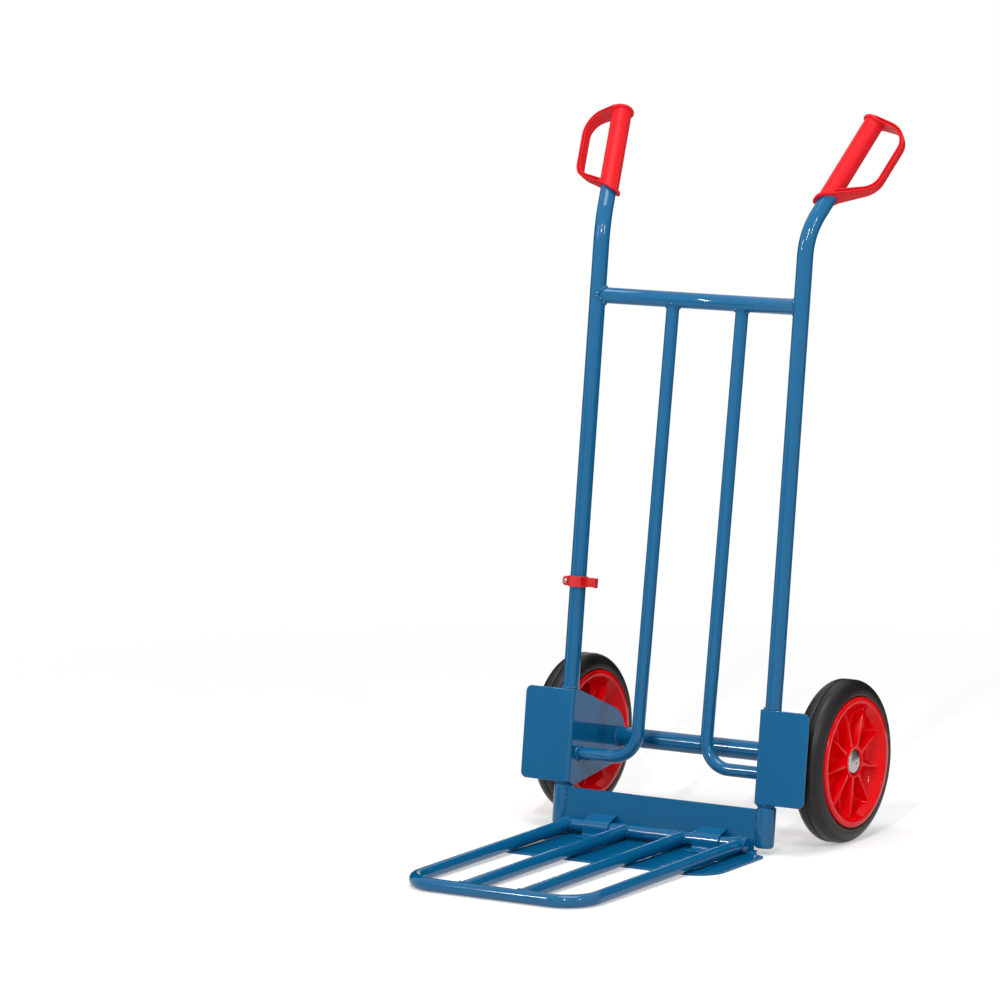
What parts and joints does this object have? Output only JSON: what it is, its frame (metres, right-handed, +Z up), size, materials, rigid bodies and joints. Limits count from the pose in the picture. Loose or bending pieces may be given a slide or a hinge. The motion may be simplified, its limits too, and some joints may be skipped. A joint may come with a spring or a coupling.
{
  "type": "convertible hand truck",
  "caption": "Tubular steel hand truck with solid rubber wheels, a toe plate, a folding tubular toe extension held by a clip, and guarded handles.",
  "frame": {"origin": "middle of the toe plate's flat underside, on the floor", "axes": "+Z up, the load side faces -Y, +X to the right seen from the load side"},
  "size_m": [0.5646, 0.7711, 1.1033],
  "materials": {
    "blue_paint": "gloss blue powder coat",
    "red_plastic": "gloss moulded red plastic",
    "grip_plastic": "satin moulded red plastic",
    "black_rubber": "matt moulded black rubber",
    "zinc_plate": "bright zinc plate",
    "bright_steel": "drawn bright steel",
    "white_nylon": "plain moulded nylon"
  },
  "bodies": {
    "frame": {"left_upright": "blue_paint", "right_upright": "blue_paint", "left_foot_socket": "blue_paint", "right_foot_socket": "blue_paint", "crossbar": "blue_paint", "left_inner_bar": "blue_paint", "right_inner_bar": "blue_paint", "left_side_plate": "blue_paint", "right_side_plate": "blue_paint", "axle_tube": "blue_paint", "toe_plate": "blue_paint", "left_hinge_strap": "blue_paint", "right_hinge_strap": "blue_paint", "clip_screw": "zinc_plate", "clip_nut": "zinc_plate", "left_inner_washer": "zinc_plate", "right_inner_washer": "zinc_plate", "left_outer_washer": "zinc_plate", "right_outer_washer": "zinc_plate", "left_spacer": "zinc_plate", "right_spacer": "zinc_plate", "left_hub_cap": "zinc_plate", "right_hub_cap": "zinc_plate", "left_grip": "grip_plastic", "right_grip": "grip_plastic", "clip": "red_plastic", "axle": "bright_steel"},
    "left_wheel": {"left_tyre": "black_rubber", "left_wheel_centre": "red_plastic", "left_wheel_bush": "white_nylon"},
    "right_wheel": {"right_tyre": "black_rubber", "right_wheel_centre": "red_plastic", "right_wheel_bush": "white_nylon"},
    "extension": {"extension_hinge_tube": "blue_paint", "extension_loop": "blue_paint", "extension_left_bar": "blue_paint", "extension_right_bar": "blue_paint"}
  },
  "joints": [
    {"name": "extension_fold", "type": "hinge", "parent": "frame", "child": "extension", "pos_m": [0, 0.0771, 0.016], "axis": [-1, 0, 0], "range_deg": [0, 100.4]},
    {"name": "left_wheel_spin", "type": "hinge", "parent": "frame", "child": "left_wheel", "pos_m": [-0.232, 0.249, 0.125], "axis": [1, 0, 0], "continuous": true},
    {"name": "right_wheel_spin", "type": "hinge", "parent": "frame", "child": "right_wheel", "pos_m": [0.232, 0.249, 0.125], "axis": [1, 0, 0], "continuous": true}
  ]
}
